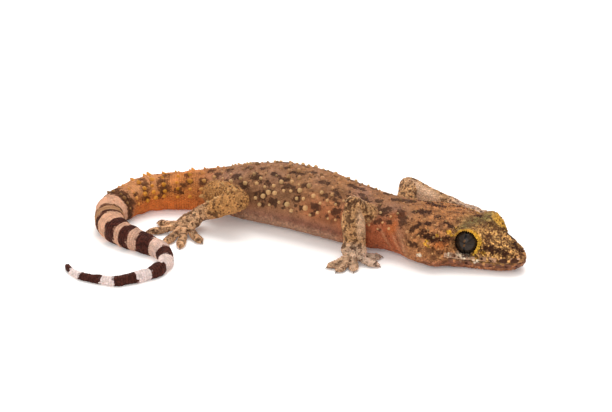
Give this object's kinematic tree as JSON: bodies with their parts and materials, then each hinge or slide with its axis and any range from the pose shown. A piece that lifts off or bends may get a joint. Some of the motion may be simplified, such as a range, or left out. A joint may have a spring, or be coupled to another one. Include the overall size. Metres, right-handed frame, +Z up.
{
  "type": "house gecko, still life-size model",
  "caption": "House gecko lying flat on chin and belly, head turned to its right, limbs bent and spread, tail swung round in an S with the tip curled back.",
  "frame": {"origin": "on the floor under the middle of the whole box", "axes": "+X towards the head end, +Y towards the animal's left side, +Z up"},
  "size_m": [0.0642, 0.0369, 0.0093],
  "materials": {
    "skin": "fine dry scales with raised tubercles, matt with a faint satin gloss",
    "eye": "wet gloss"
  },
  "bodies": {
    "root": {"head": "skin", "neck": "skin", "torso": "skin", "tail_base": "skin", "tail_bend": "skin", "tail_middle": "skin", "tail_curl": "skin", "tail_tip": "skin", "upper_arm_right": "skin", "forearm_right": "skin", "hand_right": "skin", "thigh_right": "skin", "shank_right": "skin", "foot_right": "skin", "upper_arm_left": "skin", "forearm_left": "skin", "hand_left": "skin", "thigh_left": "skin", "shank_left": "skin", "foot_left": "skin", "eye_right": "eye", "eye_left": "eye"}
  },
  "joints": []
}
